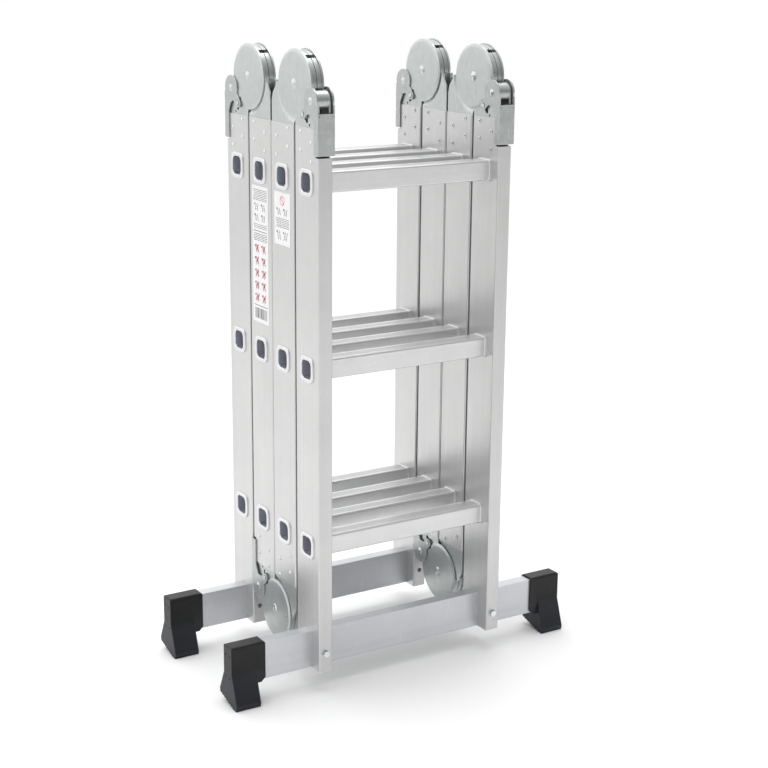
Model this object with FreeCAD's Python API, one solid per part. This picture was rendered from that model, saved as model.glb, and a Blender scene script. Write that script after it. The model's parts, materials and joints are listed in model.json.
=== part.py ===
"""Folding multi-position ladder: four three-rung sections, six locking hinges and two stabilizer bars.

Millimetres.  X runs across the ladder, Y from the front section to the rear one, Z up.
The origin is on the floor, at the centre of the ladder's footprint.
Folded for storage the four sections stand upright, one behind the other.
"""

import FreeCAD
import Part
import math
import os
from dataclasses import dataclass

Vector = FreeCAD.Vector
ACROSS = Vector(1, 0, 0)
DEPTHWAYS = Vector(0, 1, 0)
UP = Vector(0, 0, 1)

# Sections: the side rails are thin-walled box extrusions.
LADDER_WIDTH = 340.0
STILE_WIDTH = 24.0
STILE_DEPTH = 70.0
STILE_WALL = 1.5
STILE_CORNER = 2.5
OUTER_GAP = 5.0
MIDDLE_GAP = 2.0
FLOOR_TO_STILE = 36.0
AXIS_TO_STILE = 60.0

# Folds: heights of the hinge axes, and the distance from an axis to the end of each rail it joins.
TOP_AXIS = 934.0
STILE_TOP = TOP_AXIS - AXIS_TO_STILE
BOTTOM_AXIS = 91.0
INNER_STILE_FOOT = BOTTOM_AXIS + AXIS_TO_STILE

# Rungs: square tubes whose ends are swaged into collars on the outside of the rails.
RUNG_PITCH = 280.0
RUNG_HEIGHTS = [235.0 + RUNG_PITCH * row for row in range(3)]
RUNG_SIZE = 31.0
RUNG_CORNER = 3.0
RUNG_WALL = 1.5
COLLAR_SIZE = 40.0
COLLAR_CORNER = 11.0
COLLAR_THICKNESS = 2.6
COLLAR_ROUNDING = 1.8
MOUTH_CORNER = 8.0
BEAD_SIZE = 33.6
BEAD_CORNER = 4.3
BEAD_WIDTH = 4.0
BEAD_ROUNDING = 1.1
TREAD_GROOVES = 5
TREAD_GROOVE = 1.2
TREAD_PITCH = 3.6

# Hinges: distances along X are from the middle of the rail that the hinge stands in.
PLATE = 2.5
HALF_STILE = STILE_WIDTH / 2
BEARER_OUT = HALF_STILE - STILE_WALL
BEARER_IN = BEARER_OUT - PLATE
PLATE_PLAY = 0.3
INNER_OUT = BEARER_IN - PLATE_PLAY
INNER_IN = INNER_OUT - PLATE
BEARER_DISC = 50.0
PRESSED_FACE = 44.8
PRESSED_RECESS = (14.0, 43.0)
INNER_DISC = 48.0
JOGGLE_RADIUS = 51.5
JOGGLE_RISE = 4.5
RIM_PLAY = 0.6
PIN_RADIUS = 6.0
PIN_PLAY = 0.05
PIN_HEAD = 8.0
PIN_HEAD_HEIGHT = 2.2
PIN_DIMPLE = (0.9, 2.2)
SPACER_RADIUS = 16.0
TAIL_END = -119.0
BEARER_TAIL = (5.0, 62.0)
INNER_TAIL = (5.0, 68.0)
SHOULDER_EDGE = 68.5
SHOULDER_TOP = -30.0
SHOULDER_KNEE = -18.0
NECK_INSET = 3.0
NECK_KNEE = -7.0
NECK_TOP = -1.0
DISC_BREAK = 0.5
TOOLING_HOLE = 2.0
TOOLING_SPOT = (44.0, -56.0)

# Locks: a pin slides along a slot in the outer plates and drops into notches in the rim of the inner discs.
LOCK_RADIUS = 3.5
LOCK_PLAY = 0.3
LOCK_DIRECTION = math.radians(36.0)
LOCK_DISTANCE = INNER_DISC + LOCK_PLAY + LOCK_RADIUS
LOCK_HALF_LENGTH = 14.8
LOCK_ANGLES = (0.0, 35.0, 110.0, 180.0)
NOTCH_DEPTH = 3.3
NOTCH_WIDTH = 2 * LOCK_RADIUS + 0.8
SLOT_START = 44.5
SLOT_END = 62.0

# Release levers: a U-shaped handle that straddles the rail's outer edge and turns on its own pivot.
PIVOT = (53.0, -21.0)
PIVOT_RADIUS = 4.0
PIVOT_PLAY = 0.06
PIVOT_HEAD = 6.0
PIVOT_HEAD_HEIGHT = 1.6
PIVOT_BUSH = 6.5
BRIDGE_RADII = (13.5, 15.5)
BRIDGE_START = 2.5
BRIDGE_DROP = 10.0
EAR = 2.0
EAR_PLAY = 0.3
EAR_IN = HALF_STILE + EAR_PLAY
EAR_OUT = EAR_IN + EAR
EAR_HEAD = 20.0
COVER_IN = 72.8
COVER_OUT = 74.3
COVER_TOP = -38.0
COVER_END = -98.0
FLANGE_EDGE = 62.0
REBATE_EDGE = 63.5
REBATE_END = -101.0
EAR_LOBE = 7.5
EAR_SLACK = 1.0
EAR_TOP = -26.0
EAR_SHOULDER = 8.0
EAR_WAIST = 18.0
EAR_KNEE = -56.0
PIN_CLEARANCE = 0.4
COVER_MARK = 0.9
COVER_MARK_DROP = 4.0
COVER_MARK_INSET = 1.5

# Springs around the lever pivots: the coil's wire, outer radius and length.
SPRING_WIRE = 1.2
SPRING_RADIUS = 8.4
SPRING_LENGTH = 8.0

# Rivets: (distance from the axis, height from the axis) of each one in a rail.
RIVET_RADIUS = 2.4
RIVET_HEAD = 3.5
RIVET_HEAD_HEIGHT = 1.5
RIVET_BORE = 1.4
RIVET_TAIL = 3.2
RIVET_TAIL_HEIGHT = 0.9
BEARER_RIVETS = [(20.0, -66.0), (20.0, -93.0), (51.0, -80.0), (51.0, -108.0)]
INNER_RIVETS = [(-20.0, -66.0), (-20.0, -93.0), (-54.0, -80.0), (-54.0, -108.0)]

# Stabilizer bars and their feet.
BAR_HEIGHT = 60.0
BAR_DEPTH = 20.0
BAR_WALL = 1.6
FOOT_SPAN = 620.0
FOOT_BLOCK = 58.0
FOOT_SKIRT = 42.0
FOOT_DEPTH = 26.0
FOOT_BASE = 58.0
FOOT_RIM = 3.0
FOOT_END_WALL = 5.0
FOOT_TOE = 7.0
FOOT_LIP = 9.0
FOOT_UNDERCUT = 2.0
FOOT_ROUNDING = 3.5
SKIRT_ROUNDING = 1.5
SOLE_TILT = math.radians(16.0)
SOLE_LAND_END = -15.0
TREADS = 6
TREAD_DEPTH = 2.5
DIMPLE_RADIUS = 1.6
DIMPLE_DEPTH = 1.5
DIMPLE_HEIGHTS = (83.0, 47.0)
BOLT_RADIUS = 3.0
BOLT_ABOVE_STILE = 29.0
BOLT_HEAD = 5.5
BOLT_HEAD_HEIGHT = 4.0
NUT_HEIGHT = 5.0
ACCESS_HOLE = 4.0

# Labels: (width, bottom, top).
LABEL_THICKNESS = 0.3
REAR_LABEL = (52.0, 557.0, 771.0)
FRONT_LABEL = (50.0, 691.0, 771.0)

STILE_CENTRE = LADDER_WIDTH / 2 - HALF_STILE
SECTION_PITCH = STILE_DEPTH + OUTER_GAP
INNER_CENTRE = (STILE_DEPTH + MIDDLE_GAP) / 2
OUTER_CENTRE = INNER_CENTRE + SECTION_PITCH
OUTER_AXIS = (INNER_CENTRE + OUTER_CENTRE) / 2
SIDES = {"left": -1, "right": 1}


@dataclass
class Fold:
    """One fold line: where its axis lies, and which way its plates point."""

    axis_y: float
    axis_z: float
    bearer_side: int
    upward: int

    def place(self, shape, side):
        """Move a shape from the hinge's own frame, bearer on +Y and rails below, to its rail."""
        if self.bearer_side < 0:
            shape = shape.mirror(Vector(0, 0, 0), DEPTHWAYS)
        if self.upward < 0:
            shape = shape.mirror(Vector(0, 0, 0), UP)
        return shape.translated(Vector(side * STILE_CENTRE, self.axis_y, self.axis_z))

    def point(self, outward, height, x=0.0):
        """A point of the hinge's own frame, in the ladder's frame."""
        return Vector(x, self.axis_y + self.bearer_side * outward, self.axis_z + self.upward * height)


FRONT_FOLD = Fold(-OUTER_AXIS, TOP_AXIS, -1, 1)
REAR_FOLD = Fold(OUTER_AXIS, TOP_AXIS, 1, 1)
MIDDLE_FOLD = Fold(0.0, BOTTOM_AXIS, 1, -1)


@dataclass
class Section:
    """One ladder section: its place, and the folds its rails belong to."""

    name: str
    centre: float
    bearer_of: tuple
    partner_of: tuple
    has_bar: bool

    def bottom(self):
        """Height of the lower end of its rails."""
        return FLOOR_TO_STILE if self.has_bar else INNER_STILE_FOOT

    def outward(self):
        """Which way along Y is away from the ladder's middle."""
        return 1 if self.centre > 0 else -1

    def rivet_points(self):
        """Where rivets cross its rails."""
        points = [fold.point(*spot) for fold in self.bearer_of for spot in BEARER_RIVETS]
        points += [fold.point(*spot) for fold in self.partner_of for spot in INNER_RIVETS]
        return points


SECTIONS = [
    Section("front_outer", -OUTER_CENTRE, (FRONT_FOLD,), (), True),
    Section("front_inner", -INNER_CENTRE, (), (FRONT_FOLD, MIDDLE_FOLD), False),
    Section("rear_inner", INNER_CENTRE, (MIDDLE_FOLD,), (REAR_FOLD,), False),
    Section("rear_outer", OUTER_CENTRE, (REAR_FOLD,), (), True),
]


def block(x, y, z):
    """A box between pairs of coordinates."""
    return Part.makeBox(x[1] - x[0], y[1] - y[0], z[1] - z[0], Vector(x[0], y[0], z[0]))


def rod(radius, x, y=0.0, z=0.0):
    """A cylinder along X between a pair of coordinates."""
    return Part.makeCylinder(radius, x[1] - x[0], Vector(x[0], y, z), ACROSS)


def cone(start_radius, end_radius, x):
    """A cone along X, on the hinge axis."""
    return Part.makeCone(start_radius, end_radius, x[1] - x[0], Vector(x[0], 0, 0), ACROSS)


def obround(start, end, radius, x):
    """A bar with round ends, seen along X, between two points of the hinge's frame."""
    a = Vector(x[0], *start)
    b = Vector(x[0], *end)
    along = (b - a).normalize() * radius
    beside = ACROSS.cross(along)
    sides = [
        Part.LineSegment(a + beside, b + beside),
        Part.Arc(b + beside, b + along, b - beside),
        Part.LineSegment(b - beside, a - beside),
        Part.Arc(a - beside, a - along, a + beside),
    ]
    wire = Part.Wire([side.toShape() for side in sides])
    return Part.Face(wire).extrude(ACROSS * (x[1] - x[0]))


def plate_of(points, x):
    """A flat plate, seen along X, with a straight-sided outline."""
    corners = [Vector(x[0], y, z) for y, z in points]
    return Part.Face(Part.makePolygon(corners + corners[:1])).extrude(ACROSS * (x[1] - x[0]))


def rounded_bar(depth, height, corner, x, y=0.0, z=0.0):
    """A bar along X with rounded corners, centred on a line."""
    solid = block(x, (y - depth / 2, y + depth / 2), (z - height / 2, z + height / 2))
    edges = [e for e in solid.Edges if abs(e.tangentAt(e.FirstParameter).x) > 0.9]
    return solid.makeFillet(corner, edges)


def upright(width, depth, corner, z):
    """An upright bar with rounded corners, centred on the Z axis."""
    solid = block((-width / 2, width / 2), (-depth / 2, depth / 2), z)
    edges = [e for e in solid.Edges if abs(e.tangentAt(e.FirstParameter).z) > 0.9]
    return solid.makeFillet(corner, edges)


def dome(radius, height, x, direction):
    """A domed head whose flat face is at x and which bulges along X."""
    ball = (radius * radius + height * height) / (2 * height)
    centre = Vector(x + direction * (height - ball), 0, 0)
    sphere = Part.makeSphere(ball, centre)
    keep = (x, x + 2 * height) if direction > 0 else (x - 2 * height, x)
    return sphere.common(block(keep, (-ball, ball), (-ball, ball)))


def both_faces(shape):
    """A shape on the +X side of a rail's middle, and its mirror image."""
    return [shape, shape.mirror(Vector(0, 0, 0), ACROSS)]


def edges_at(shape, x):
    """The edges of a shape that lie in one plane across X."""
    flat = 0.01
    return [e for e in shape.Edges if abs(e.BoundBox.XMin - x) < flat and abs(e.BoundBox.XMax - x) < flat]


def cut_all(shape, tools):
    """Cut several tools from a shape."""
    return shape.cut(Part.makeCompound(tools)) if tools else shape


def joined(shapes):
    """Fuse shapes into one clean solid."""
    return shapes[0].multiFuse(shapes[1:]).removeSplitter()


def stile(section, side):
    """One hollow side rail, cut for its rungs, rivets, bar, bolt and levers."""
    z = (section.bottom(), STILE_TOP)
    outside = upright(STILE_WIDTH, STILE_DEPTH, STILE_CORNER, z)
    inner_width = STILE_WIDTH - 2 * STILE_WALL
    inner_depth = STILE_DEPTH - 2 * STILE_WALL
    inside = block((-inner_width / 2, inner_width / 2), (-inner_depth / 2, inner_depth / 2), z)
    rail = outside.cut(inside).translated(Vector(side * STILE_CENTRE, section.centre, 0))
    x = (side * STILE_CENTRE - HALF_STILE, side * STILE_CENTRE + HALF_STILE)
    tools = [rounded_bar(RUNG_SIZE, RUNG_SIZE, RUNG_CORNER, x, section.centre, h) for h in RUNG_HEIGHTS]
    tools += [rod(RIVET_RADIUS, x, p.y, p.z) for p in section.rivet_points()]
    for fold in section.bearer_of:
        span = (-HALF_STILE, HALF_STILE)
        rebate = block(span, (REBATE_EDGE, STILE_DEPTH + OUTER_GAP), (REBATE_END, -AXIS_TO_STILE))
        tools.append(fold.place(rebate, side))
    if section.has_bar:
        tools.append(bar_notch(section, x))
        tools.append(bolt_bore(section, side))
        tools.append(access_bore(section, side))
    return cut_all(rail, tools)


def bar_notch(section, x):
    """The slot, open below, in which a stabilizer bar sits."""
    y = (section.centre - BAR_DEPTH / 2, section.centre + BAR_DEPTH / 2)
    return block(x, y, (FLOOR_TO_STILE, FLOOR_TO_STILE + BAR_HEIGHT))


def bolt_line(section, side, start, end, radius):
    """A round bar along Y on a stabilizer bolt's line; distances are from the section's middle, outward."""
    origin = Vector(side * STILE_CENTRE, section.centre, FLOOR_TO_STILE + BOLT_ABOVE_STILE)
    out = DEPTHWAYS * section.outward()
    return Part.makeCylinder(radius, end - start, origin + out * start, out)


def bolt_bore(section, side):
    """The bolt's hole, through the outer narrow face and the bar."""
    return bolt_line(section, side, -BAR_DEPTH / 2, STILE_DEPTH / 2, BOLT_RADIUS)


def access_bore(section, side):
    """The hole in the inner narrow face, through which the nut is held."""
    return bolt_line(section, side, -STILE_DEPTH / 2, -BAR_DEPTH / 2, ACCESS_HOLE)


def rung(section, height):
    """One rung with a grooved tread; beads and swaged collars hold it in the rails."""
    half = LADDER_WIDTH / 2
    tube = rounded_bar(RUNG_SIZE, RUNG_SIZE, RUNG_CORNER, (-half, half))
    opening = RUNG_SIZE - 2 * RUNG_WALL
    ends = half + COLLAR_THICKNESS
    bore = rounded_bar(opening, opening, RUNG_CORNER - RUNG_WALL, (-half, half))
    mouth = rounded_bar(opening, opening, MOUTH_CORNER, (half, ends))
    collar = rounded_bar(COLLAR_SIZE, COLLAR_SIZE, COLLAR_CORNER, (half, ends)).cut(mouth)
    collar = collar.makeFillet(COLLAR_ROUNDING, edges_at(collar, ends))
    inside = half - STILE_WIDTH - BEAD_WIDTH
    bead = rounded_bar(BEAD_SIZE, BEAD_SIZE, BEAD_CORNER, (inside, inside + BEAD_WIDTH))
    bead = bead.makeFillet(BEAD_ROUNDING, edges_at(bead, inside))
    body = joined([tube] + both_faces(collar) + both_faces(bead))
    body = body.cut(Part.makeCompound([bore] + both_faces(mouth)))
    first = -(TREAD_GROOVES - 1) / 2 * TREAD_PITCH
    grooves = []
    for row in range(TREAD_GROOVES):
        y = first + row * TREAD_PITCH
        top = RUNG_SIZE / 2
        groove_y = (y - TREAD_GROOVE / 2, y + TREAD_GROOVE / 2)
        grooves.append(block((-inside, inside), groove_y, (top - RUNG_WALL / 2, top)))
    return cut_all(body, grooves).translated(Vector(0, section.centre, height))


def rivet(side):
    """A rivet through a rail: domed head on the outer face, hollow tail on the inner one."""
    x = (-HALF_STILE, HALF_STILE)
    head = dome(RIVET_HEAD, RIVET_HEAD_HEIGHT, side * HALF_STILE, side)
    tail_end = -side * (HALF_STILE + RIVET_TAIL_HEIGHT)
    tail = rod(RIVET_TAIL, sorted((-side * HALF_STILE, tail_end)))
    bore_x = sorted((-side * (HALF_STILE - STILE_WALL), tail_end))
    return joined([rod(RIVET_RADIUS, x), head, tail]).cut(rod(RIVET_BORE, bore_x))


def rivets(section):
    """Every rivet of a section."""
    solids = []
    for side in SIDES.values():
        one = rivet(side)
        for p in section.rivet_points():
            solids.append(one.translated(Vector(side * STILE_CENTRE, p.y, p.z)))
    return solids


def lock_point(distance):
    """Where the lock pin is at a distance from the hinge axis."""
    return (distance * math.sin(LOCK_DIRECTION), -distance * math.cos(LOCK_DIRECTION))


def bearer_plate():
    """The outer plate of a hinge: a pressed disc, a shoulder for the lever and a tail inside the rail."""
    x = (BEARER_IN, BEARER_OUT)
    edge = BEARER_DISC - DISC_BREAK
    shoulder = block(x, (MIDDLE_GAP, SHOULDER_EDGE), (-AXIS_TO_STILE, PIVOT[1]))
    parts = [
        rod(BEARER_DISC, x),
        cone(edge, PRESSED_FACE, (BEARER_OUT, HALF_STILE)),
        shoulder,
        rod(SHOULDER_EDGE - PIVOT[0], x, *PIVOT),
        block(x, BEARER_TAIL, (TAIL_END, -AXIS_TO_STILE)),
    ]
    through = (BEARER_IN, HALF_STILE)
    slot = obround(lock_point(SLOT_START), lock_point(SLOT_END), LOCK_RADIUS + PIVOT_PLAY, through)
    tools = [slot, rod(PIN_RADIUS, through), rod(PIVOT_RADIUS, through, *PIVOT)]
    tools.append(rod(TOOLING_HOLE, through, *TOOLING_SPOT))
    recess = (BEARER_IN, BEARER_IN + STILE_WALL)
    tools.append(rod(PRESSED_RECESS[1], recess).cut(rod(PRESSED_RECESS[0], recess)))
    tools += [rod(RIVET_RADIUS, through, *spot) for spot in BEARER_RIVETS]
    return cut_all(joined(parts), tools)


def inner_plate():
    """The inner plate of a hinge: its rimmed disc is set back behind the outer one by a curved joggle."""
    flat = (BEARER_IN, BEARER_OUT)
    deep = (INNER_IN, INNER_OUT)
    both = (INNER_IN, BEARER_OUT)
    edge = MIDDLE_GAP / 2 - STILE_DEPTH - MIDDLE_GAP
    neck = -(JOGGLE_RADIUS + JOGGLE_RISE)
    outline = [(-MIDDLE_GAP, -AXIS_TO_STILE), (edge, -AXIS_TO_STILE), (edge, SHOULDER_TOP)]
    outline += [(edge + NECK_INSET, SHOULDER_KNEE), (neck - NECK_INSET, NECK_KNEE)]
    outline += [(neck, NECK_TOP), (-MIDDLE_GAP, NECK_TOP)]
    rim = JOGGLE_RADIUS + JOGGLE_RISE
    band = plate_of(outline, both).common(rod(rim + PLATE, both))
    band = band.cut(cone(JOGGLE_RADIUS, rim, (INNER_OUT, BEARER_OUT)))
    shoulder = plate_of(outline, flat).cut(rod(rim, flat))
    tail = block(flat, (-INNER_TAIL[1], -INNER_TAIL[0]), (TAIL_END, -AXIS_TO_STILE))
    rim_x = (RIM_PLAY, INNER_IN)
    flange = rod(INNER_DISC, rim_x).cut(rod(INNER_DISC - PLATE, rim_x))
    body = joined([rod(INNER_DISC, deep), flange, band, shoulder, tail])
    tools = [rod(PIN_RADIUS + PIN_PLAY, both)]
    tools += [rod(RIVET_RADIUS, both, *spot) for spot in INNER_RIVETS]
    for angle in LOCK_ANGLES:
        y = (INNER_DISC - NOTCH_DEPTH, INNER_DISC + PLATE)
        notch = block((0.0, BEARER_OUT), y, (-NOTCH_WIDTH / 2, NOTCH_WIDTH / 2))
        turn = math.degrees(LOCK_DIRECTION) - 90.0 + angle
        tools.append(notch.rotate(Vector(0, 0, 0), ACROSS, turn))
    return cut_all(body, tools)


def shoulder_bridge():
    """The curved strip that ties the two outer plates together around the lever's pivot."""
    x = (-BEARER_IN, BEARER_IN)
    inside, outside = BRIDGE_RADII
    ring = rod(outside, x, *PIVOT).cut(rod(inside, x, *PIVOT))
    y = (PIVOT[0] + BRIDGE_START, PIVOT[0] + outside)
    return ring.common(block(x, y, (PIVOT[1] - BRIDGE_DROP, PIVOT[1] + outside)))


def inner_spacer():
    """The sleeve that holds the two inner plates apart."""
    x = (-INNER_IN, INNER_IN)
    return rod(SPACER_RADIUS, x).cut(rod(PIN_RADIUS + PIN_PLAY, x))


def hinge_pin():
    """The riveted hinge pin, with a dimpled domed head on each face."""
    heads = both_faces(dome(PIN_HEAD, PIN_HEAD_HEIGHT, HALF_STILE, 1))
    pin = joined([rod(PIN_RADIUS, (-HALF_STILE, HALF_STILE))] + heads)
    end = HALF_STILE + PIN_HEAD_HEIGHT
    depth, mouth = PIN_DIMPLE
    dimple = Part.makeCone(mouth / 4, mouth, depth, Vector(end - depth, 0, 0), ACROSS)
    return cut_all(pin, both_faces(dimple))


def lever_arm():
    """Unit vector from the lever's pivot to the lock pin, and their distance."""
    pin = lock_point(LOCK_DISTANCE)
    reach = math.hypot(pin[0] - PIVOT[0], pin[1] - PIVOT[1])
    return ((pin[0] - PIVOT[0]) / reach, (pin[1] - PIVOT[1]) / reach), reach


def lever():
    """The release lever: two ears joined by a cover over the rail's outer edge."""
    x = (EAR_IN, EAR_OUT)
    pin = lock_point(LOCK_DISTANCE)
    flange = [(FLANGE_EDGE, COVER_END), (COVER_OUT, COVER_END), (COVER_OUT, EAR_TOP)]
    flange += [(PIVOT[0] + EAR_SHOULDER, PIVOT[1]), (PIVOT[0], PIVOT[1] - EAR_WAIST)]
    flange += [(FLANGE_EDGE, EAR_KNEE)]
    ear = joined([rod(EAR_HEAD, x, *PIVOT), obround(PIVOT, pin, EAR_LOBE, x), plate_of(flange, x)])
    (dy, dz), reach = lever_arm()
    near = (PIVOT[0] + dy * (reach - EAR_SLACK), PIVOT[1] + dz * (reach - EAR_SLACK))
    far = (PIVOT[0] + dy * (reach + EAR_SLACK), PIVOT[1] + dz * (reach + EAR_SLACK))
    holes = [obround(near, far, LOCK_RADIUS + PIN_CLEARANCE, x), rod(PIVOT_RADIUS + PIVOT_PLAY, x, *PIVOT)]
    ear = cut_all(ear, holes)
    cover = block((-EAR_OUT, EAR_OUT), (COVER_IN, COVER_OUT), (COVER_END, COVER_TOP))
    body = joined(both_faces(ear) + [cover])
    spot = Vector(EAR_IN - COVER_MARK_INSET, COVER_IN - COVER_MARK, COVER_TOP - COVER_MARK_DROP)
    mark = Part.makeCylinder(COVER_MARK, COVER_OUT - COVER_IN + 2 * COVER_MARK, spot, DEPTHWAYS)
    return cut_all(body, both_faces(mark))


def lock_pin():
    """The sliding pin that locks a hinge."""
    return rod(LOCK_RADIUS, (-LOCK_HALF_LENGTH, LOCK_HALF_LENGTH), *lock_point(LOCK_DISTANCE))


def lever_pivot():
    """The lever's riveted pivot and the bush on it between the outer plates."""
    heads = both_faces(dome(PIVOT_HEAD, PIVOT_HEAD_HEIGHT, EAR_OUT, 1))
    pin = joined([rod(PIVOT_RADIUS, (-EAR_OUT, EAR_OUT))] + heads)
    span = (-BEARER_IN, BEARER_IN)
    bush = rod(PIVOT_BUSH, span).cut(rod(PIVOT_RADIUS, span))
    return [solid.translated(Vector(0, *PIVOT)) for solid in (pin, bush)]


def lever_spring():
    """The spring around a lever's pivot, as a sleeve of the coil's size."""
    x = (-SPRING_LENGTH / 2, SPRING_LENGTH / 2)
    inside = SPRING_RADIUS - SPRING_WIRE
    return rod(SPRING_RADIUS, x, *PIVOT).cut(rod(inside, x, *PIVOT))


def stabilizer_bar(section):
    """The rectangular tube that joins two feet under a section."""
    half = FOOT_SPAN / 2 - FOOT_END_WALL
    z = (FLOOR_TO_STILE, FLOOR_TO_STILE + BAR_HEIGHT)
    y = (section.centre - BAR_DEPTH / 2, section.centre + BAR_DEPTH / 2)
    tube = block((-half, half), y, z)
    bore_y = (y[0] + BAR_WALL, y[1] - BAR_WALL)
    tube = tube.cut(block((-half, half), bore_y, (z[0] + BAR_WALL, z[1] - BAR_WALL)))
    return cut_all(tube, [bolt_bore(section, side) for side in SIDES.values()])


def stabilizer_bolts(section):
    """The bolt through each rail and the nut behind the bar."""
    solids = []
    for side in SIDES.values():
        back = -BAR_DEPTH / 2 - NUT_HEIGHT
        shank = bolt_line(section, side, back - 1.0, STILE_DEPTH / 2, BOLT_RADIUS)
        head = hex_bar(section, side, STILE_DEPTH / 2, BOLT_HEAD_HEIGHT)
        nut = hex_bar(section, side, back, NUT_HEIGHT)
        solids.append(joined([shank, head]))
        solids.append(nut.cut(shank))
    return solids


def hex_bar(section, side, start, height):
    """A six-sided bar along Y on a stabilizer bolt's line."""
    corners = []
    for corner in range(6):
        turn = math.radians(60.0 * corner)
        corners.append(Vector(BOLT_HEAD * math.cos(turn), 0, BOLT_HEAD * math.sin(turn)))
    out = DEPTHWAYS * section.outward()
    bar = Part.Face(Part.makePolygon(corners + corners[:1])).extrude(out * height)
    origin = Vector(side * STILE_CENTRE, section.centre, FLOOR_TO_STILE + BOLT_ABOVE_STILE)
    return bar.translated(origin + out * start)


def along(shape, direction):
    """The straight edges of a shape that run along a direction."""
    return [e for e in shape.Edges if abs(e.tangentAt(e.FirstParameter).dot(direction)) > 0.9]


def sole_height(y):
    """Height of the tilted sole under a foot; it lies level on its front land."""
    return max(0.0, y - SOLE_LAND_END) * math.tan(SOLE_TILT)


def foot_block():
    """The upper part of a foot, around the bar's end."""
    top = FLOOR_TO_STILE + BAR_HEIGHT + FOOT_RIM
    shoulder = FLOOR_TO_STILE - FOOT_RIM
    end = FOOT_SPAN / 2
    half = FOOT_DEPTH / 2
    body = block((end - FOOT_BLOCK, end), (-half, half), (shoulder, top))
    under = [e for e in along(body, DEPTHWAYS) if e.BoundBox.ZMax < top and e.BoundBox.XMax < end]
    body = body.makeChamfer(FOOT_TOE, under)
    over = [e for e in body.Edges if e.BoundBox.ZMin > top - FOOT_RIM]
    body = body.makeFillet(FOOT_ROUNDING, over)
    return body


def foot_skirt():
    """The flared lower part of a foot, with its grooved and tilted sole."""
    end = FOOT_SPAN / 2
    half = FOOT_DEPTH / 2
    flare_top = FLOOR_TO_STILE + BAR_HEIGHT / 3
    edge = FOOT_BASE / 2 - FOOT_UNDERCUT
    outline = [(-half, flare_top), (-FOOT_BASE / 2, FOOT_LIP), (-edge, 0.0), (SOLE_LAND_END, 0.0)]
    heel = sole_height(edge)
    outline += [(edge, heel), (FOOT_BASE / 2, heel + FOOT_LIP), (half, flare_top)]
    body = plate_of(outline, (end - FOOT_SKIRT, end))
    slanted = [e for e in body.Edges if e.BoundBox.XLength < 1 and e.BoundBox.ZLength > FOOT_LIP + 1]
    flares = [e for e in along(body, ACROSS) if abs(abs(e.BoundBox.YMin) - FOOT_BASE / 2) < 0.01]
    body = body.makeFillet(SKIRT_ROUNDING, slanted + flares)
    pitch = (edge - SOLE_LAND_END) / TREADS
    grooves = []
    for row in range(TREADS):
        y = SOLE_LAND_END + (row + 0.5) * pitch
        width = (y - pitch / 4, y + pitch / 4)
        grooves.append(block((end - FOOT_SKIRT, end), width, (-1.0, sole_height(y) + TREAD_DEPTH)))
    return cut_all(body, grooves)


def foot(section, side):
    """A moulded rubber foot: a socket for the bar's end above a flared, grooved base."""
    end = FOOT_SPAN / 2
    half = BAR_DEPTH / 2
    socket = block(
        (end - FOOT_BLOCK, end - FOOT_END_WALL),
        (-half, half),
        (FLOOR_TO_STILE, FLOOR_TO_STILE + BAR_HEIGHT),
    )
    tools = [socket]
    for z in DIMPLE_HEIGHTS:
        for y in (-FOOT_DEPTH / 4, FOOT_DEPTH / 4):
            tools.append(rod(DIMPLE_RADIUS, (end - DIMPLE_DEPTH, end), y, z))
    body = joined([foot_block(), foot_skirt()])
    body = cut_all(body, tools).translated(Vector(0, section.centre, 0))
    return body if side > 0 else body.mirror(Vector(0, 0, 0), ACROSS)


def label(section, size):
    """A thin sticker on the outer face of the left rail."""
    width, bottom, top = size
    x = (-LADDER_WIDTH / 2 - LABEL_THICKNESS, -LADDER_WIDTH / 2)
    return block(x, (section.centre - width / 2, section.centre + width / 2), (bottom, top))


def save(name, solids):
    """Write one node's solids to its own file."""
    solids = solids if isinstance(solids, list) else [solids]
    shape = solids[0] if len(solids) == 1 else Part.makeCompound(solids)
    bad = [s for s in solids if not s.isValid() or len(s.Solids) != 1]
    volume = sum(s.Volume for s in solids)
    print(f"{name:44s} {len(solids):3d} solids {volume / 1000:9.2f} cm3", "BAD" if bad else "")
    shape.exportStep(f"parts/{name}.step")


def build_section(section):
    """Write the pieces that every section has."""
    for name, side in SIDES.items():
        save(f"{section.name}_{name}_stile", stile(section, side))
    save(f"{section.name}_rungs", [rung(section, height) for height in RUNG_HEIGHTS])
    save(f"{section.name}_rivets", rivets(section))
    if section.has_bar:
        save(f"{section.name}_stabilizer_bar", stabilizer_bar(section))
        save(f"{section.name}_stabilizer_bolts", stabilizer_bolts(section))
        for name, side in SIDES.items():
            save(f"{section.name}_{name}_foot", foot(section, side))


def build_fold(name, fold):
    """Write the pieces of the two hinges on one fold line."""
    both = list(SIDES.values())
    bearers = both_faces(bearer_plate()) + [shoulder_bridge()]
    partners = both_faces(inner_plate()) + [inner_spacer()]
    for side_name, side in SIDES.items():
        save(f"{name}_{side_name}_outer_plates", [fold.place(s, side) for s in bearers])
        save(f"{name}_{side_name}_inner_plates", [fold.place(s, side) for s in partners])
        save(f"{name}_{side_name}_lever", fold.place(lever(), side))
        save(f"{name}_{side_name}_lock_pin", fold.place(lock_pin(), side))
    save(f"{name}_hinge_pins", [fold.place(hinge_pin(), side) for side in both])
    save(f"{name}_lever_pivots", [fold.place(s, side) for side in both for s in lever_pivot()])
    save(f"{name}_lever_springs", [fold.place(lever_spring(), side) for side in both])


os.makedirs("parts", exist_ok=True)
for one_section in SECTIONS:
    build_section(one_section)
build_fold("front_fold", FRONT_FOLD)
build_fold("middle_fold", MIDDLE_FOLD)
build_fold("rear_fold", REAR_FOLD)
save("rear_inner_label", label(SECTIONS[2], REAR_LABEL))
save("front_inner_label", label(SECTIONS[1], FRONT_LABEL))
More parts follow.
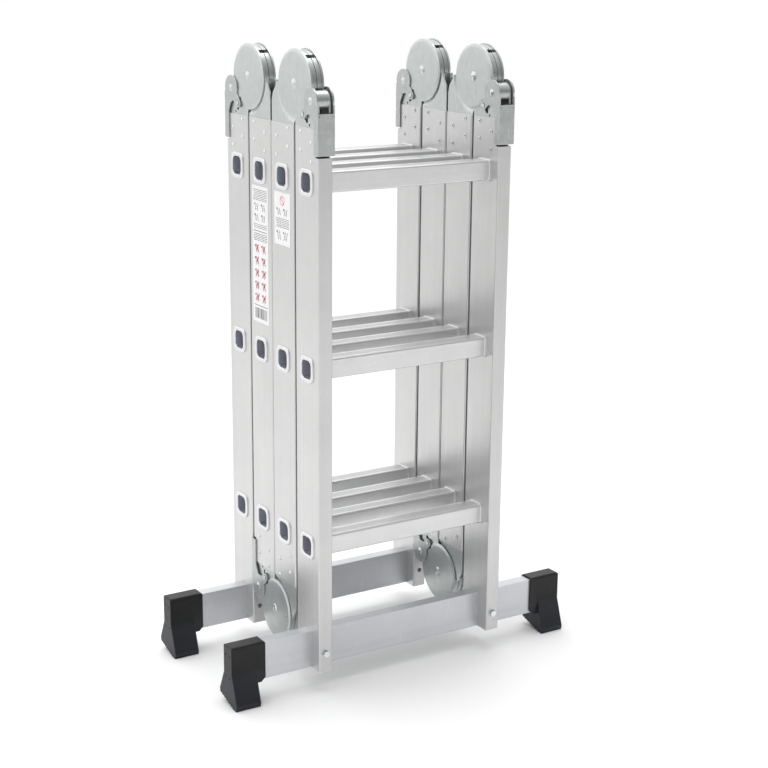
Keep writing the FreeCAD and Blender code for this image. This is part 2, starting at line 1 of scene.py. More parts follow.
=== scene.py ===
"""Looks of the folding multi-position ladder: finishes, lever springs, sticker printing, studio and camera.

Metres.  X runs across the ladder, Y from the front section to the rear one and Z up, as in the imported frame.
"""

import json
import logging
import math
import random
from dataclasses import dataclass, field
from enum import Enum

import bmesh
import bpy
from mathutils import Matrix, Vector

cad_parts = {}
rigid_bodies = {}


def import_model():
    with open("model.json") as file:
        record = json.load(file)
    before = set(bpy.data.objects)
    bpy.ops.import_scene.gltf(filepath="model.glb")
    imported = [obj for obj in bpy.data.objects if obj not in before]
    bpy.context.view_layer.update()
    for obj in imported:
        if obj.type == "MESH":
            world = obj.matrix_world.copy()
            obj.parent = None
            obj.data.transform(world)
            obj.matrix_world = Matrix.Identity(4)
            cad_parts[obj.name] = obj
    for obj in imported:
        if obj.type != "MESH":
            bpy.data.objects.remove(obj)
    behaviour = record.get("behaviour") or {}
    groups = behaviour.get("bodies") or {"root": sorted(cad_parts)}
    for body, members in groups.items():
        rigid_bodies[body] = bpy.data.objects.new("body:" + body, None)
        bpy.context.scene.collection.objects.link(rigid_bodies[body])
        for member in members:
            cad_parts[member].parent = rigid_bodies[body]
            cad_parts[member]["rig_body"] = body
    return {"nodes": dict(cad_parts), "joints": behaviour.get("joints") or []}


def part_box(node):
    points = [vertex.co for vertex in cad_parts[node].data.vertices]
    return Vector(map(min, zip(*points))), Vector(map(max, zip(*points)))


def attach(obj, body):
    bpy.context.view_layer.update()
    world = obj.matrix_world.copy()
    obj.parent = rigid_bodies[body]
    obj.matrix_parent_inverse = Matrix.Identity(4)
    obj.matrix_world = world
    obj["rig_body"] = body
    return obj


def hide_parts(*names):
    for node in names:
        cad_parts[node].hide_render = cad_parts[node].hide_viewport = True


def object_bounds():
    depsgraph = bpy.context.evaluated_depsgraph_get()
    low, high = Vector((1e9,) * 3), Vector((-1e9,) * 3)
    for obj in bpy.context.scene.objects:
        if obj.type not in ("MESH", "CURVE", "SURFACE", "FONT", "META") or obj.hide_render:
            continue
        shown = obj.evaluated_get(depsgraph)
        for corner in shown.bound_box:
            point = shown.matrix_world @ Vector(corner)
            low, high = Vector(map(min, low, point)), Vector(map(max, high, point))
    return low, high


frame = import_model()
CAD_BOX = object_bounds()

LOG = logging.getLogger("ladder")
MM = 0.001
WELD_GAP = 0.00001
SAME_PLACE_DIGITS = 5
SAME_LEVEL_DIGITS = 4
PACKED_SMOOTH_DEG = 32.0
BUILT_SMOOTH_DEG = 35.0
BEVEL_SAMPLES = 4

Colour = tuple[float, float, float]
Point = tuple[float, float, float]
Span = tuple[float, float]
Spot = tuple[float, float]
Socket = bpy.types.NodeSocket

WHITE: Colour = (1.0, 1.0, 1.0)


class Section(Enum):
    """The four ladder sections; each value is the section's body and the start of its nodes' names."""

    FRONT_OUTER = "front_outer"
    FRONT_INNER = "front_inner"
    REAR_INNER = "rear_inner"
    REAR_OUTER = "rear_outer"


class FoldLine(Enum):
    """The three fold lines; each value starts the names of the fold's nodes and names its joint."""

    FRONT = "front_fold"
    MIDDLE = "middle_fold"
    REAR = "rear_fold"


class Grain(Enum):
    """Which way a finish's fine drawing lines run, as the stretch of the pattern's coordinates."""

    UP = (1.0, 1.0, 0.008)
    ACROSS = (0.008, 1.0, 1.0)
    EVEN = (1.0, 1.0, 1.0)


class Ink(Enum):
    """The printing colours on the stickers."""

    BLACK = "black"
    GREY = "grey"
    RED = "red"


# ---------------------------------------------------------------------------------------------------------
# Node helpers and shared effects


class Nodes:
    """Adds and wires the nodes of one shader tree or node group."""

    def __init__(self, tree: bpy.types.NodeTree) -> None:
        """Keep the tree that the nodes go into."""
        self.tree = tree

    def add(self, kind: str, inputs: dict | None = None, **settings: object) -> bpy.types.Node:
        """Add one node.

        Args:
            kind: Blender's name of the node type.
            inputs: values or sockets for the node's inputs, by name or number.
            settings: the node's own properties.

        Returns:
            The new node.
        """
        node = self.tree.nodes.new(kind)
        for name, value in settings.items():
            setattr(node, name, value)
        for key, value in (inputs or {}).items():
            if isinstance(value, bpy.types.NodeSocket):
                self.tree.links.new(value, node.inputs[key])
            else:
                node.inputs[key].default_value = value
        return node

    def link(self, output: Socket, target: Socket) -> None:
        """Wire an output to an input."""
        self.tree.links.new(output, target)

    def effect(self, group: bpy.types.NodeTree, **values: object) -> bpy.types.Node:
        """Place a shared effect with its own values."""
        return self.add("ShaderNodeGroup", values, node_tree=group)

    def math(self, operation: str, first: object, second: object = 0.0, clamp: bool = False) -> Socket:
        """Add a Math node and return its output socket."""
        node = self.add("ShaderNodeMath", {0: first, 1: second}, operation=operation, use_clamp=clamp)
        return node.outputs[0]

    def spread(
        self, value: object, low: object, high: object, start: object = 0.0, end: object = 1.0
    ) -> Socket:
        """Map a value from start..end to low..high, clamped, and return the output socket."""
        node = self.add("ShaderNodeMapRange", {0: value, 1: start, 2: end, 3: low, 4: high})
        return node.outputs[0]

    def blend(self, factor: object, first: object, second: object) -> Socket:
        """Mix two colours by a factor and return the output socket."""
        node = self.add("ShaderNodeMix", {0: factor, 6: first, 7: second}, data_type="RGBA")
        return node.outputs[2]

    def noise(self, vector: object, scale: object, detail: float = 3.0, roughness: float = 0.5) -> Socket:
        """Add a noise texture and return its factor."""
        inputs = {"Vector": vector, "Scale": scale, "Detail": detail, "Roughness": roughness}
        return self.add("ShaderNodeTexNoise", inputs).outputs[0]

    def place(self) -> Socket:
        """The surface's place in the ladder's own frame."""
        return self.add("ShaderNodeTexCoord").outputs["Object"]

    def rounded(self, radius: object) -> Socket:
        """The normal that the surface has if its sharp edges are rounded."""
        return self.add("ShaderNodeBevel", {"Radius": radius}, samples=BEVEL_SAMPLES).outputs[0]

    def bump(self, height: Socket, relief_mm: float, **normal: Socket) -> Socket:
        """Turn a height of up to relief_mm, on top of any Normal given, into a normal's socket."""
        inputs = {"Strength": 1.0, "Distance": relief_mm * MM, "Height": height, **normal}
        return self.add("ShaderNodeBump", inputs).outputs[0]


def rgba(colour: Colour) -> tuple[float, float, float, float]:
    """A colour with full opacity."""
    return (*colour, 1.0)


def start_material(name: str) -> tuple[bpy.types.Material, Nodes, bpy.types.Node]:
    """Start a material.

    Args:
        name: the material's name.

    Returns:
        The material, a helper for its nodes and its Principled shader.
    """
    material = bpy.data.materials.new(name)
    material.use_nodes = True
    tree = material.node_tree
    return material, Nodes(tree), tree.nodes["Principled BSDF"]


class Effects:
    """The shader node groups that several finishes share, each built once."""

    def __init__(self) -> None:
        """Build every group."""
        self.drawn_lines = self._drawn_lines()
        self.clouds = self._clouds()
        self.edge_wear_and_highlight = self._edge_wear_and_highlight()
        self.scratches = self._scratches()
        self.fine_grain = self._fine_grain()
        self.dust = self._dust()
        self.painted_rim_shade = self._painted_rim_shade()

    def _group(
        self, name: str, inputs: dict[str, object], outputs: tuple[str, ...]
    ) -> tuple[bpy.types.NodeTree, Nodes, bpy.types.Node, bpy.types.Node]:
        """Start a node group.

        Args:
            name: the group's name.
            inputs: default value of each input; a tuple makes a vector socket.
            outputs: names of the value outputs.

        Returns:
            The group, a node helper for it, its input node and its output node.
        """
        tree = bpy.data.node_groups.new(name, "ShaderNodeTree")
        for key, value in inputs.items():
            kind = "NodeSocketVector" if isinstance(value, tuple) else "NodeSocketFloat"
            socket = tree.interface.new_socket(key, in_out="INPUT", socket_type=kind)
            socket.default_value = value
        for key in outputs:
            tree.interface.new_socket(key, in_out="OUTPUT", socket_type="NodeSocketFloat")
        nodes = Nodes(tree)
        return tree, nodes, nodes.add("NodeGroupInput"), nodes.add("NodeGroupOutput")

    def _drawn_lines(self) -> bpy.types.NodeTree:
        """Fine lines that a die leaves along an extrusion, in two widths.

        Returns:
            The group.
        """
        inputs = {"Stretch": Grain.EVEN.value, "Scale": 900.0}
        tree, nodes, start, end = self._group("DrawnLines", inputs, ("Lines", "Height"))
        inputs = {"Vector": nodes.place(), "Scale": start.outputs["Stretch"]}
        vector = nodes.add("ShaderNodeMapping", inputs).outputs[0]
        fine = nodes.noise(vector, start.outputs["Scale"], detail=4.0, roughness=0.7)
        broad_scale = nodes.math("MULTIPLY", start.outputs["Scale"], 0.14)
        broad = nodes.noise(vector, broad_scale, roughness=0.55)
        lines = nodes.math("ADD", nodes.math("MULTIPLY", fine, 0.45), nodes.math("MULTIPLY", broad, 0.55))
        nodes.link(nodes.spread(lines, 0.0, 1.0, start=0.32, end=0.68), end.inputs["Lines"])
        nodes.link(fine, end.inputs["Height"])
        return tree

    def _clouds(self) -> bpy.types.NodeTree:
        """Soft uneven patches, as in zinc plating and on handled metal.

        Returns:
            The group.
        """
        tree, nodes, start, end = self._group("Clouds", {"Scale": 40.0, "Sharpness": 0.5}, ("Mask",))
        large = nodes.noise(nodes.place(), start.outputs["Scale"], detail=5.0, roughness=0.6)
        low = nodes.math("MULTIPLY", start.outputs["Sharpness"], 0.5)
        high = nodes.math("SUBTRACT", 1.0, low)
        inputs = {0: large, 1: low, 2: high, 3: 0.0, 4: 1.0}
        patch = nodes.add("ShaderNodeMapRange", inputs, interpolation_type="SMOOTHSTEP").outputs[0]
        nodes.link(patch, end.inputs["Mask"])
        return tree

    def _edge_wear_and_highlight(self) -> bpy.types.NodeTree:
        """Where an edge is marked bright, partly by rubbed wear and partly by a painted highlight: the rounded
        normal leaves the true one, broken up by noise.

        Returns:
            The group.
        """
        tree, nodes, start, end = self._group("EdgeWearAndHighlight", {"Radius": 0.001, "Breakup": 160.0}, ("Mask",))
        true = nodes.add("ShaderNodeNewGeometry").outputs["Normal"]
        inputs = {0: nodes.rounded(start.outputs["Radius"]), 1: true}
        agreement = nodes.add("ShaderNodeVectorMath", inputs, operation="DOT_PRODUCT").outputs["Value"]
        edge = nodes.spread(agreement, 1.0, 0.0, start=0.80, end=0.995)
        breakup = nodes.noise(nodes.place(), start.outputs["Breakup"], detail=4.0, roughness=0.6)
        breakup = nodes.spread(breakup, 0.25, 1.0, start=0.35, end=0.65)
        nodes.link(nodes.math("MULTIPLY", edge, breakup, True), end.inputs["Mask"])
        return tree

    def _scratches(self) -> bpy.types.NodeTree:
        """Sparse hairline scratches that cross each other.

        Returns:
            The group.
        """
        tree, nodes, start, end = self._group("Scratches", {"Scale": 60.0, "Amount": 0.5}, ("Mask",))
        along = (1.0, 1.0, 0.06)
        total = None
        for turn in (0.5, 1.35, 2.4):
            inputs = {"Vector": nodes.place(), "Rotation": (turn, turn * 0.7, 0.0), "Scale": along}
            vector = nodes.add("ShaderNodeMapping", inputs).outputs[0]
            fine = nodes.math("MULTIPLY", start.outputs["Scale"], 10.0)
            line = nodes.noise(vector, fine, detail=1.0, roughness=0.4)
            line = nodes.spread(line, 0.0, 1.0, start=0.70, end=0.78)
            total = line if total is None else nodes.math("MAXIMUM", total, line)
        patch = nodes.noise(nodes.place(), start.outputs["Scale"])
        total = nodes.math("MULTIPLY", total, nodes.spread(patch, 0.0, 1.0, start=0.42, end=0.62))
        nodes.link(nodes.math("MULTIPLY", total, start.outputs["Amount"], True), end.inputs["Mask"])
        return tree

    def _fine_grain(self) -> bpy.types.NodeTree:
        """The even fine texture of moulded rubber and printed film.

        Returns:
            The group.
        """
        tree, nodes, start, end = self._group("FineGrain", {"Scale": 1500.0}, ("Height", "Mask"))
        vector = nodes.place()
        grains = nodes.noise(vector, start.outputs["Scale"], roughness=0.65)
        inputs = {"Vector": vector, "Scale": start.outputs["Scale"]}
        cells = nodes.add("ShaderNodeTexVoronoi", inputs).outputs[0]
        height = nodes.math("ADD", nodes.math("MULTIPLY", grains, 0.6), nodes.math("MULTIPLY", cells, 0.4))
        nodes.link(height, end.inputs["Height"])
        nodes.link(nodes.spread(grains, 0.0, 1.0, start=0.35, end=0.65), end.inputs["Mask"])
        return tree

    def _dust(self) -> bpy.types.NodeTree:
        """Where fine dust settles: on what faces up when the ladder is stored, in soft patches.

        Returns:
            The group.
        """
        tree, nodes, start, end = self._group("Dust", {"Amount": 0.3, "Scale": 55.0}, ("Mask",))
        coordinates = nodes.add("ShaderNodeTexCoord")
        facing = nodes.add("ShaderNodeSeparateXYZ", {0: coordinates.outputs["Normal"]}).outputs["Z"]
        facing = nodes.spread(facing, 0.0, 1.0, start=0.2, end=0.95)
        patch = nodes.noise(coordinates.outputs["Object"], start.outputs["Scale"], detail=6.0, roughness=0.62)
        patch = nodes.spread(patch, 0.0, 1.0, start=0.38, end=0.66)
        mask = nodes.math("MULTIPLY", nodes.math("MULTIPLY", facing, patch), start.outputs["Amount"], True)
        nodes.link(mask, end.inputs["Mask"])
        return tree

    def _painted_rim_shade(self) -> bpy.types.NodeTree:
        """Painted shade on the steep rim of a domed head whose axis runs along X, darker towards the rim.

        Returns:
            The group.
        """
        tree, nodes, start, end = self._group("PaintedRimShade", {"Flat": 0.93, "Steep": 0.72}, ("Mask",))
        coordinates = nodes.add("ShaderNodeTexCoord")
        along = nodes.add("ShaderNodeSeparateXYZ", {0: coordinates.outputs["Normal"]}).outputs["X"]
        along = nodes.math("ABSOLUTE", along)
        rim = nodes.spread(along, 0.0, 1.0, start.outputs["Flat"], start.outputs["Steep"])
        patch = nodes.noise(coordinates.outputs["Object"], 300.0, roughness=0.6)
        patch = nodes.spread(patch, 0.6, 1.0, start=0.35, end=0.65)
        nodes.link(nodes.math("MULTIPLY", rim, patch, True), end.inputs["Mask"])
        return tree


# ---------------------------------------------------------------------------------------------------------
# Finishes


@dataclass(frozen=True)
class MetalFinish:
    """One metal surface.

    The base colour runs to the shade along the lines and patches, and to the bright colour along edges, where
    a painted highlight is mixed with rubbed wear.  The relief is in millimetres.
    """

    name: str
    base: Colour
    shade: Colour
    # Near-white colour that edges run to: a painted highlight mixed with rubbed wear.
    bright: Colour = (0.93, 0.93, 0.92)
    metallic: float = 1.0
    roughness: Span = (0.30, 0.45)
    grain: Grain = Grain.EVEN
    line_scale: float = 900.0
    line_share: float = 0.5
    patch_scale: float = 40.0
    patch_share: float = 0.4
    relief: float = 0.02
    # Width and strength of the edge mark: a painted highlight mixed with rubbed wear.
    wear_and_highlight_radius: float = 0.0008
    wear_and_highlight: float = 0.6
    scratches: float = 0.3
    scratch_depth: float = 0.5
    dust: float = 0.10
    dust_colour: Colour = (0.66, 0.65, 0.62)
    dust_dulling: float = 0.4
    rounding: float = 0.0004
    # Painted shade: how strongly domed heads are darkened at their steep rims, and the dark colour used.
    rim_painted_shade: float = 0.0
    painted_shade_colour: Colour = (0.16, 0.16, 0.17)

    def material(self, effects: Effects) -> bpy.types.Material:
        """Build the material.

        Args:
            effects: the shared node groups.

        Returns:
            The finished material.
        """
        material, nodes, shader = start_material(self.name)
        lines = nodes.effect(effects.drawn_lines, Stretch=self.grain.value, Scale=self.line_scale)
        patches = nodes.effect(effects.clouds, Scale=self.patch_scale).outputs["Mask"]
        wear_and_highlight = nodes.effect(effects.edge_wear_and_highlight, Radius=self.wear_and_highlight_radius).outputs["Mask"]
        scratches = nodes.effect(effects.scratches, Amount=self.scratches).outputs["Mask"]
        dust = nodes.effect(effects.dust, Amount=self.dust).outputs["Mask"]

        tone = nodes.math("MULTIPLY", lines.outputs["Lines"], self.line_share)
        tone = nodes.math("ADD", tone, nodes.math("MULTIPLY", patches, self.patch_share), True)
        colour = nodes.blend(tone, rgba(self.base), rgba(self.shade))
        # Painted highlight mixed with rubbed wear: edges, and the scratches, run to the near-white colour.
        worn_and_highlit = nodes.math("MAXIMUM", nodes.math("MULTIPLY", wear_and_highlight, self.wear_and_highlight), scratches)
        colour = nodes.blend(worn_and_highlit, colour, rgba(self.bright))
        # Painted shade: the steep rims of domed heads run to the dark colour.
        if self.rim_painted_shade:
            rim = nodes.effect(effects.painted_rim_shade).outputs["Mask"]
            rim_shade = nodes.math("MULTIPLY", rim, self.rim_painted_shade)
            colour = nodes.blend(rim_shade, colour, rgba(self.painted_shade_colour))
        nodes.link(nodes.blend(dust, colour, rgba(self.dust_colour)), shader.inputs["Base Color"])

        rough = nodes.spread(tone, *self.roughness)
        rough = nodes.math("ADD", rough, nodes.math("MULTIPLY", dust, self.dust_dulling), True)
        nodes.link(rough, shader.inputs["Roughness"])
        shader.inputs["Metallic"].default_value = self.metallic

        cuts = nodes.math("MULTIPLY", scratches, self.scratch_depth)
        height = nodes.math("SUBTRACT", lines.outputs["Height"], cuts)
        normal = nodes.bump(height, self.relief, Normal=nodes.rounded(self.rounding))
        nodes.link(normal, shader.inputs["Normal"])
        return material


@dataclass(frozen=True)
class RubberFinish:
    """Moulded black rubber: matt, grained, greyer along edges, where a painted highlight is mixed with rubbed
    wear, and dusty low down.

    The flared base, below low_tint_top, is a lighter bluish grey.  The relief is in millimetres.
    """

    name: str
    base: Colour = (0.0045, 0.0045, 0.005)
    worn_and_highlit: Colour = (0.036, 0.037, 0.042)
    low_tint: Colour = (0.011, 0.012, 0.018)
    low_tint_top: float = 0.052
    low_tint_fade: float = 0.006
    # Edges run to the lighter grey: a painted highlight mixed with rubbed wear.
    wear_and_highlight_radius: float = 0.0016
    wear_and_highlight_breakup: float = 260.0
    wear_and_highlight: float = 0.55
    patch_scale: float = 70.0
    patch_share: float = 0.15
    grain_scale: float = 1300.0
    relief: float = 0.12
    rounding: float = 0.0009
    dust: float = 0.05
    dust_colour: Colour = (0.30, 0.29, 0.27)
    roughness: Span = (0.38, 0.52)
    specular: float = 0.36

    def material(self, effects: Effects) -> bpy.types.Material:
        """Build the material.

        Args:
            effects: the shared node groups.

        Returns:
            The finished material.
        """
        material, nodes, shader = start_material(self.name)
        wear_and_highlight = nodes.effect(effects.edge_wear_and_highlight, Radius=self.wear_and_highlight_radius, Breakup=self.wear_and_highlight_breakup)
        grain = nodes.effect(effects.fine_grain, Scale=self.grain_scale)
        patches = nodes.effect(effects.clouds, Scale=self.patch_scale).outputs["Mask"]
        dust = nodes.effect(effects.dust, Amount=self.dust).outputs["Mask"]
        height = nodes.add("ShaderNodeSeparateXYZ", {0: nodes.place()}).outputs["Z"]
        fade = (self.low_tint_top - self.low_tint_fade, self.low_tint_top + self.low_tint_fade)
        colour = nodes.blend(nodes.spread(height, 1.0, 0.0, *fade), rgba(self.base), rgba(self.low_tint))
        colour = nodes.blend(nodes.math("MULTIPLY", patches, self.patch_share), colour, rgba(self.worn_and_highlit))
        # Painted highlight mixed with rubbed wear: edges run to the lighter grey.
        rubbed_and_highlit = nodes.math("MULTIPLY", wear_and_highlight.outputs["Mask"], self.wear_and_highlight)
        colour = nodes.blend(rubbed_and_highlit, colour, rgba(self.worn_and_highlit))
        nodes.link(nodes.blend(dust, colour, rgba(self.dust_colour)), shader.inputs["Base Color"])
        nodes.link(nodes.spread(grain.outputs["Mask"], *self.roughness), shader.inputs["Roughness"])
        shader.inputs["Specular IOR Level"].default_value = self.specular
        normal = nodes.bump(grain.outputs["Height"], self.relief, Normal=nodes.rounded(self.rounding))
        nodes.link(normal, shader.inputs["Normal"])
        return material


@dataclass(frozen=True)
class FilmFinish:
    """Printed or plain plastic film with a soft gloss, faint handling stains and a fine orange-peel surface.

    The relief is in millimetres.
    """

    name: str
    base: Colour
    stain: Colour
    stain_share: float = 0.6
    stain_scale: float = 90.0
    grain_scale: float = 900.0
    relief: float = 0.02
    roughness: Span = (0.28, 0.42)
    coat: float = 0.25

    def material(self, effects: Effects) -> bpy.types.Material:
        """Build the material.

        Args:
            effects: the shared node groups.

        Returns:
            The finished material.
        """
        material, nodes, shader = start_material(self.name)
        grain = nodes.effect(effects.fine_grain, Scale=self.grain_scale)
        patches = nodes.effect(effects.clouds, Scale=self.stain_scale).outputs["Mask"]
        stain = nodes.math("MULTIPLY", patches, self.stain_share)
        nodes.link(nodes.blend(stain, rgba(self.base), rgba(self.stain)), shader.inputs["Base Color"])
        nodes.link(nodes.spread(grain.outputs["Mask"], *self.roughness), shader.inputs["Roughness"])
        shader.inputs["Coat Weight"].default_value = self.coat
        nodes.link(nodes.bump(grain.outputs["Height"], self.relief), shader.inputs["Normal"])
        return material


RAIL = MetalFinish(
    "rail_satin_aluminium", (0.62, 0.62, 0.615), (0.53, 0.53, 0.53), metallic=0.85,
    roughness=(0.28, 0.40), grain=Grain.UP, line_share=0.35, patch_scale=9.0, patch_share=0.35,
    relief=0.012, wear_and_highlight_radius=0.0012, wear_and_highlight=0.7, scratches=0.18,
)
RUNG = MetalFinish(
    "rung_satin_aluminium", (0.74, 0.74, 0.74), (0.63, 0.63, 0.64), metallic=0.75,
    roughness=(0.28, 0.44), grain=Grain.ACROSS, line_share=0.45, patch_scale=18.0, patch_share=0.3,
    relief=0.02, wear_and_highlight_radius=0.0010, wear_and_highlight=0.8, scratches=0.35, dust=0.14,
)
BAR = MetalFinish(
    "bar_satin_aluminium", (0.64, 0.65, 0.67), (0.54, 0.55, 0.58), metallic=0.75,
    roughness=(0.32, 0.46), grain=Grain.ACROSS, line_share=0.4, patch_scale=12.0, patch_share=0.35,
    relief=0.014, wear_and_highlight_radius=0.0010, wear_and_highlight=0.7, scratches=0.3, dust=0.16,
)
# Painted light: a brighter, bluish copy of the aluminium for the shaded insides of the rung tubes.
BORE_PAINTED_LIGHT = MetalFinish(
    "rung_bore_painted_light", (0.90, 0.92, 0.97), (0.68, 0.71, 0.80), metallic=0.9,
    roughness=(0.30, 0.45), grain=Grain.ACROSS, line_share=0.5, relief=0.03, wear_and_highlight=0.2, scratches=0.1,
    dust=0.0,
)
HINGE = MetalFinish(
    "hinge_zinc_plate", (0.53, 0.555, 0.545), (0.43, 0.46, 0.455), metallic=0.85,
    roughness=(0.26, 0.40), line_scale=240.0, line_share=0.25, patch_scale=60.0, patch_share=0.5,
    relief=0.03, wear_and_highlight_radius=0.0014, wear_and_highlight=0.9, scratches=0.45,
)
LEVER = MetalFinish(
    "lever_zinc_plate", (0.48, 0.50, 0.49), (0.38, 0.40, 0.395), metallic=0.8,
    roughness=(0.24, 0.38), line_scale=260.0, line_share=0.25, patch_scale=75.0, patch_share=0.55,
    relief=0.03, wear_and_highlight_radius=0.0014, wear_and_highlight=0.9, scratches=0.5,
)
# The rivet domes carry painted shade on their rims.
RIVET = MetalFinish(
    "rivet_bright_aluminium", (0.80, 0.80, 0.81), (0.68, 0.68, 0.69), metallic=1.0,
    roughness=(0.18, 0.30), line_scale=500.0, patch_scale=180.0, relief=0.01, wear_and_highlight=0.1, scratches=0.2,
    rim_painted_shade=0.75,
)
BOLT = MetalFinish(
    "bolt_zinc_plate", (0.82, 0.83, 0.86), (0.66, 0.67, 0.72), metallic=0.95,
    roughness=(0.18, 0.32), line_scale=400.0, patch_scale=160.0, relief=0.01, wear_and_highlight=0.8, scratches=0.3,
)
LOCK_PIN = MetalFinish(
    "lock_pin_bright_steel", (0.72, 0.73, 0.75), (0.55, 0.56, 0.58), metallic=1.0,
    roughness=(0.14, 0.26), grain=Grain.ACROSS, patch_scale=120.0, relief=0.008, wear_and_highlight=0.6,
    scratches=0.4, dust=0.0,
)
# The domed pin heads carry painted shade on their rims.
HINGE_PIN = MetalFinish(
    "hinge_pin_zinc_plate", (0.62, 0.63, 0.62), (0.50, 0.51, 0.51), metallic=0.95,
    roughness=(0.18, 0.32), line_scale=350.0, patch_scale=150.0, relief=0.012, wear_and_highlight=0.5, scratches=0.3,
    rim_painted_shade=0.5,
)
SPRING = MetalFinish(
    "spring_drawn_wire", (0.30, 0.31, 0.33), (0.16, 0.16, 0.18), metallic=1.0,
    roughness=(0.20, 0.34), line_scale=700.0, patch_scale=200.0, relief=0.006, wear_and_highlight=0.5, scratches=0.2,
    dust=0.0,
)
RUBBER = RubberFinish("foot_moulded_rubber")
STICKER = FilmFinish("sticker_white_film", (0.78, 0.78, 0.79), (0.72, 0.72, 0.72))
INKS = {
    Ink.BLACK: FilmFinish("sticker_black_ink", (0.05, 0.05, 0.055), (0.09, 0.09, 0.095)),
    Ink.GREY: FilmFinish("sticker_grey_ink", (0.34, 0.34, 0.36), (0.46, 0.46, 0.48)),
    Ink.RED: FilmFinish("sticker_red_ink", (0.58, 0.09, 0.11), (0.70, 0.22, 0.24)),
}


class Finishes:
    """Every material of the ladder, built once from its finish."""

    def __init__(self, effects: Effects) -> None:
        """Keep the shared effects; materials are built as pieces ask for them."""
        self.effects = effects
        self.built: dict[str, bpy.types.Material] = {}

    def get(self, finish: MetalFinish | RubberFinish | FilmFinish) -> bpy.types.Material:
        """The material of a finish, which is built when it is first asked for.

        Args:
            finish: the finish.

        Returns:
            Its material.
        """
        if finish.name not in self.built:
            self.built[finish.name] = finish.material(self.effects)
        return self.built[finish.name]


# ---------------------------------------------------------------------------------------------------------
# Meshes


def dress(
    node: str, material: bpy.types.Material, smooth_deg: float = PACKED_SMOOTH_DEG
) -> bpy.types.Object:
    """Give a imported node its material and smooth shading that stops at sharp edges.

    Args:
        node: the node's name.
        material: its finish.
        smooth_deg: edges that turn by more than this stay sharp.

    Returns:
        The node's object.
    """
    piece = frame["nodes"][node]
    mesh = piece.data
    mesh.materials.clear()
    mesh.materials.append(material)
    mesh.polygons.foreach_set("material_index", [0] * len(mesh.polygons))
    custom = mesh.attributes.get("custom_normal")
    if custom:
        mesh.attributes.remove(custom)
    weld = piece.modifiers.new("weld", "WELD")
    weld.merge_threshold = WELD_GAP
    mesh.shade_smooth()
    smooth_by_angle(piece, smooth_deg)
    LOG.info("dressed %s in %s", node, material.name)
    return piece


def smooth_by_angle(piece: bpy.types.Object, degrees: float) -> None:
    """Shade smoothly across edges that turn by less than an angle, with area-weighted normals.

    Args:
        piece: the object.
        degrees: the angle.
    """
    piece.modifiers.new("weighted normals", "WEIGHTED_NORMAL").keep_sharp = True
    mesh = piece.data
    bm = bmesh.new()
    bm.from_mesh(mesh)
    places: dict[tuple, list] = {}
    for edge in bm.edges:
        ends = sorted(tuple(round(c, SAME_PLACE_DIGITS) for c in v.co) for v in edge.verts)
        places.setdefault(tuple(ends), []).append(edge)
    sharp = set()
    limit = math.radians(degrees)
    for edges in places.values():
        faces = [face for edge in edges for face in edge.link_faces]
        turned = len(faces) != 2 or faces[0].normal.angle(faces[1].normal, math.pi) > limit
        if turned:
            sharp.update(edge.index for edge in edges)
    bm.free()
    flags = [index in sharp for index in range(len(mesh.edges))]
    attribute = mesh.attributes.get("sharp_edge") or mesh.attributes.new("sharp_edge", "BOOLEAN", "EDGE")
    attribute.data.foreach_set("value", flags)


def new_piece(
    name: str, bm: bmesh.types.BMesh, material: bpy.types.Material, body: str
) -> bpy.types.Object:
    """Turn a bmesh into a smooth piece that rides on a body.

    Args:
        name: the piece's name.
        bm: its mesh, which is freed.
        material: its finish.
        body: the body it rides on.

    Returns:
        The new object.
    """
    bmesh.ops.recalc_face_normals(bm, faces=bm.faces)
    mesh = bpy.data.meshes.new(name)
    bm.to_mesh(mesh)
    bm.free()
    mesh.materials.append(material)
    mesh.shade_smooth()
    mesh.set_sharp_from_angle(angle=math.radians(BUILT_SMOOTH_DEG))
    piece = bpy.data.objects.new(name, mesh)
    bpy.context.scene.collection.objects.link(piece)
    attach(piece, body)
    LOG.info("built %s on %s", name, body)
    return piece


def add_wire(bm: bmesh.types.BMesh, path: list[Vector], radius: float, sides: int = 10) -> None:
    """Add a closed round wire along a path.

    Args:
        bm: the mesh that it goes into.
        path: the points of its middle line.
        radius: half the wire's thickness.
        sides: how many flats its round section has.
    """
    rings = []
    across = None
    for index, point in enumerate(path):
        along = (path[min(index + 1, len(path) - 1)] - path[max(index - 1, 0)]).normalized()
        if across is None:
            across = along.orthogonal().normalized()
        across = (across - along * across.dot(along)).normalized()
        up = along.cross(across)
        ring = []
        for side in range(sides):
            turn = 2 * math.pi * side / sides
            ring.append(bm.verts.new(point + (across * math.cos(turn) + up * math.sin(turn)) * radius))
        rings.append(ring)
    for first, second in zip(rings, rings[1:]):
        for side in range(sides):
            after = (side + 1) % sides
            bm.faces.new((first[side], first[after], second[after], second[side]))
    bm.faces.new(list(reversed(rings[0])))
    bm.faces.new(rings[-1])


def add_slab(bm: bmesh.types.BMesh, outline: list[Spot], x: Span) -> None:
    """Add a thin closed slab across X with an outline in Y and Z.

    Args:
        bm: the mesh that it goes into.
        outline: its corners in order.
        x: where its two faces lie.
    """
    back = [bm.verts.new((x[0], y, z)) for y, z in outline]
    front = [bm.verts.new((x[1], y, z)) for y, z in outline]
    bm.faces.new(back)
    bm.faces.new(list(reversed(front)))
    for index in range(len(outline)):
        after = (index + 1) % len(outline)
        bm.faces.new((back[index], front[index], front[after], back[after]))


# ---------------------------------------------------------------------------------------------------------
# Sub-assemblies


